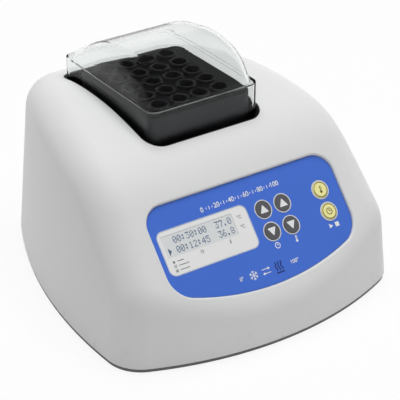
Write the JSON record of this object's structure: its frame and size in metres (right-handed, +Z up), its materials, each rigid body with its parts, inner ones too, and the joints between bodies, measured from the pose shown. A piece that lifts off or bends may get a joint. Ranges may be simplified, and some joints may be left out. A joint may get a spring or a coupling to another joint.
{
  "type": "dry block heater",
  "caption": "White moulded dry block heater with a sloping blue control panel, a dark block of tube sockets and a clear lift-off lid.",
  "frame": {"origin": "on the table, under the middle of the case's width and depth", "axes": "+X to the right seen from the front, +Y to the back, +Z up; the control panel faces -Y"},
  "size_m": [0.2432, 0.2623, 0.178],
  "materials": {
    "case_white": "satin moulded",
    "tray_dark": "matt moulded",
    "foot_rubber": "matt",
    "label_grey": "satin film",
    "block_black": "black anodised",
    "surround_dark": "fine satin",
    "liner_dark": "matt",
    "foam": "closed-cell foam",
    "cell_ceramic": "plain white ceramic",
    "sink_alu": "extruded",
    "steel": "plain",
    "fan_black": "matt moulded",
    "panel_blue": "printed film",
    "window_grey": "satin film",
    "lcd_glass": "smooth",
    "ring_light": "printed ring",
    "key_grey": "satin",
    "key_yellow": "satin",
    "board_green": "solder resist",
    "component_black": "moulded",
    "connector_white": "moulded",
    "ribbon_grey": "flat cable",
    "lead_black": "insulated",
    "lead_red": "insulated",
    "lead_white": "insulated",
    "rocker_black": "gloss",
    "lid_clear": "clear moulded"
  },
  "bodies": {
    "case": {"base_screws": "steel", "base_tray": "tray_dark", "block_surround": "surround_dark", "capacitors": "component_black", "chips": "component_black", "clamp_screws": "steel", "connectors": "connector_white", "display_board": "board_green", "display_board_screws": "steel", "display_frame": "steel", "display_glass": "lcd_glass", "display_window": "window_grey", "driver_cooler": "sink_alu", "fan_frame": "fan_black", "fan_lead": "lead_black", "fan_screws": "steel", "feet": "foot_rubber", "finger_guard": "steel", "heat_block": "block_black", "heat_sink": "sink_alu", "inlet_lead": "lead_black", "inlet_nut": "steel", "insulation_jacket": "foam", "key_rings": "ring_light", "key_switches": "component_black", "main_board": "board_green", "main_board_screws": "steel", "panel_overlay": "panel_blue", "peltier_leads": "lead_red", "peltier_modules": "cell_ceramic", "power_inlet": "component_black", "power_switch": "component_black", "rating_plate": "label_grey", "recess_liner": "liner_dark", "ribbon_cable": "ribbon_grey", "sensor_lead": "lead_white", "sink_screws": "steel", "socket_plate": "surround_dark", "switch_lead": "lead_black", "temperature_sensor": "steel", "thermal_cutout": "steel", "upper_housing": "case_white"},
    "lid": {"lid": "lid_clear"},
    "fan": {"fan_rotor": "fan_black"},
    "rocker": {"power_rocker": "rocker_black"},
    "key_block_run": {"key_block_run": "key_yellow"},
    "key_temp_down": {"key_temp_down": "key_grey"},
    "key_temp_up": {"key_temp_up": "key_grey"},
    "key_time_down": {"key_time_down": "key_grey"},
    "key_time_up": {"key_time_up": "key_grey"},
    "key_timer_run": {"key_timer_run": "key_yellow"}
  },
  "joints": [
    {"name": "lid_lift", "type": "slide", "parent": "case", "child": "lid", "axis": [0, 0, 1], "range_m": [0, 0.06]},
    {"name": "fan_spin", "type": "hinge", "parent": "case", "child": "fan", "pos_m": [0, 0.0255, 0.034], "axis": [0, 0, 1], "continuous": true},
    {"name": "power_rock", "type": "hinge", "parent": "case", "child": "rocker", "pos_m": [0.029, 0.12973, 0.03], "axis": [1, 0, 0], "range_deg": [0, 14]},
    {"name": "key_block_run_press", "type": "slide", "parent": "case", "child": "key_block_run", "axis": [0, 0.7431, -0.6691], "range_m": [0, 0.0006], "stiffness_N_per_m": 1000},
    {"name": "key_temp_down_press", "type": "slide", "parent": "case", "child": "key_temp_down", "axis": [0, 0.7431, -0.6691], "range_m": [0, 0.0006], "stiffness_N_per_m": 1000},
    {"name": "key_temp_up_press", "type": "slide", "parent": "case", "child": "key_temp_up", "axis": [0, 0.7431, -0.6691], "range_m": [0, 0.0006], "stiffness_N_per_m": 1000},
    {"name": "key_time_down_press", "type": "slide", "parent": "case", "child": "key_time_down", "axis": [0, 0.7431, -0.6691], "range_m": [0, 0.0006], "stiffness_N_per_m": 1000},
    {"name": "key_time_up_press", "type": "slide", "parent": "case", "child": "key_time_up", "axis": [0, 0.7431, -0.6691], "range_m": [0, 0.0006], "stiffness_N_per_m": 1000},
    {"name": "key_timer_run_press", "type": "slide", "parent": "case", "child": "key_timer_run", "axis": [0, 0.7431, -0.6691], "range_m": [0, 0.0006], "stiffness_N_per_m": 1000}
  ]
}
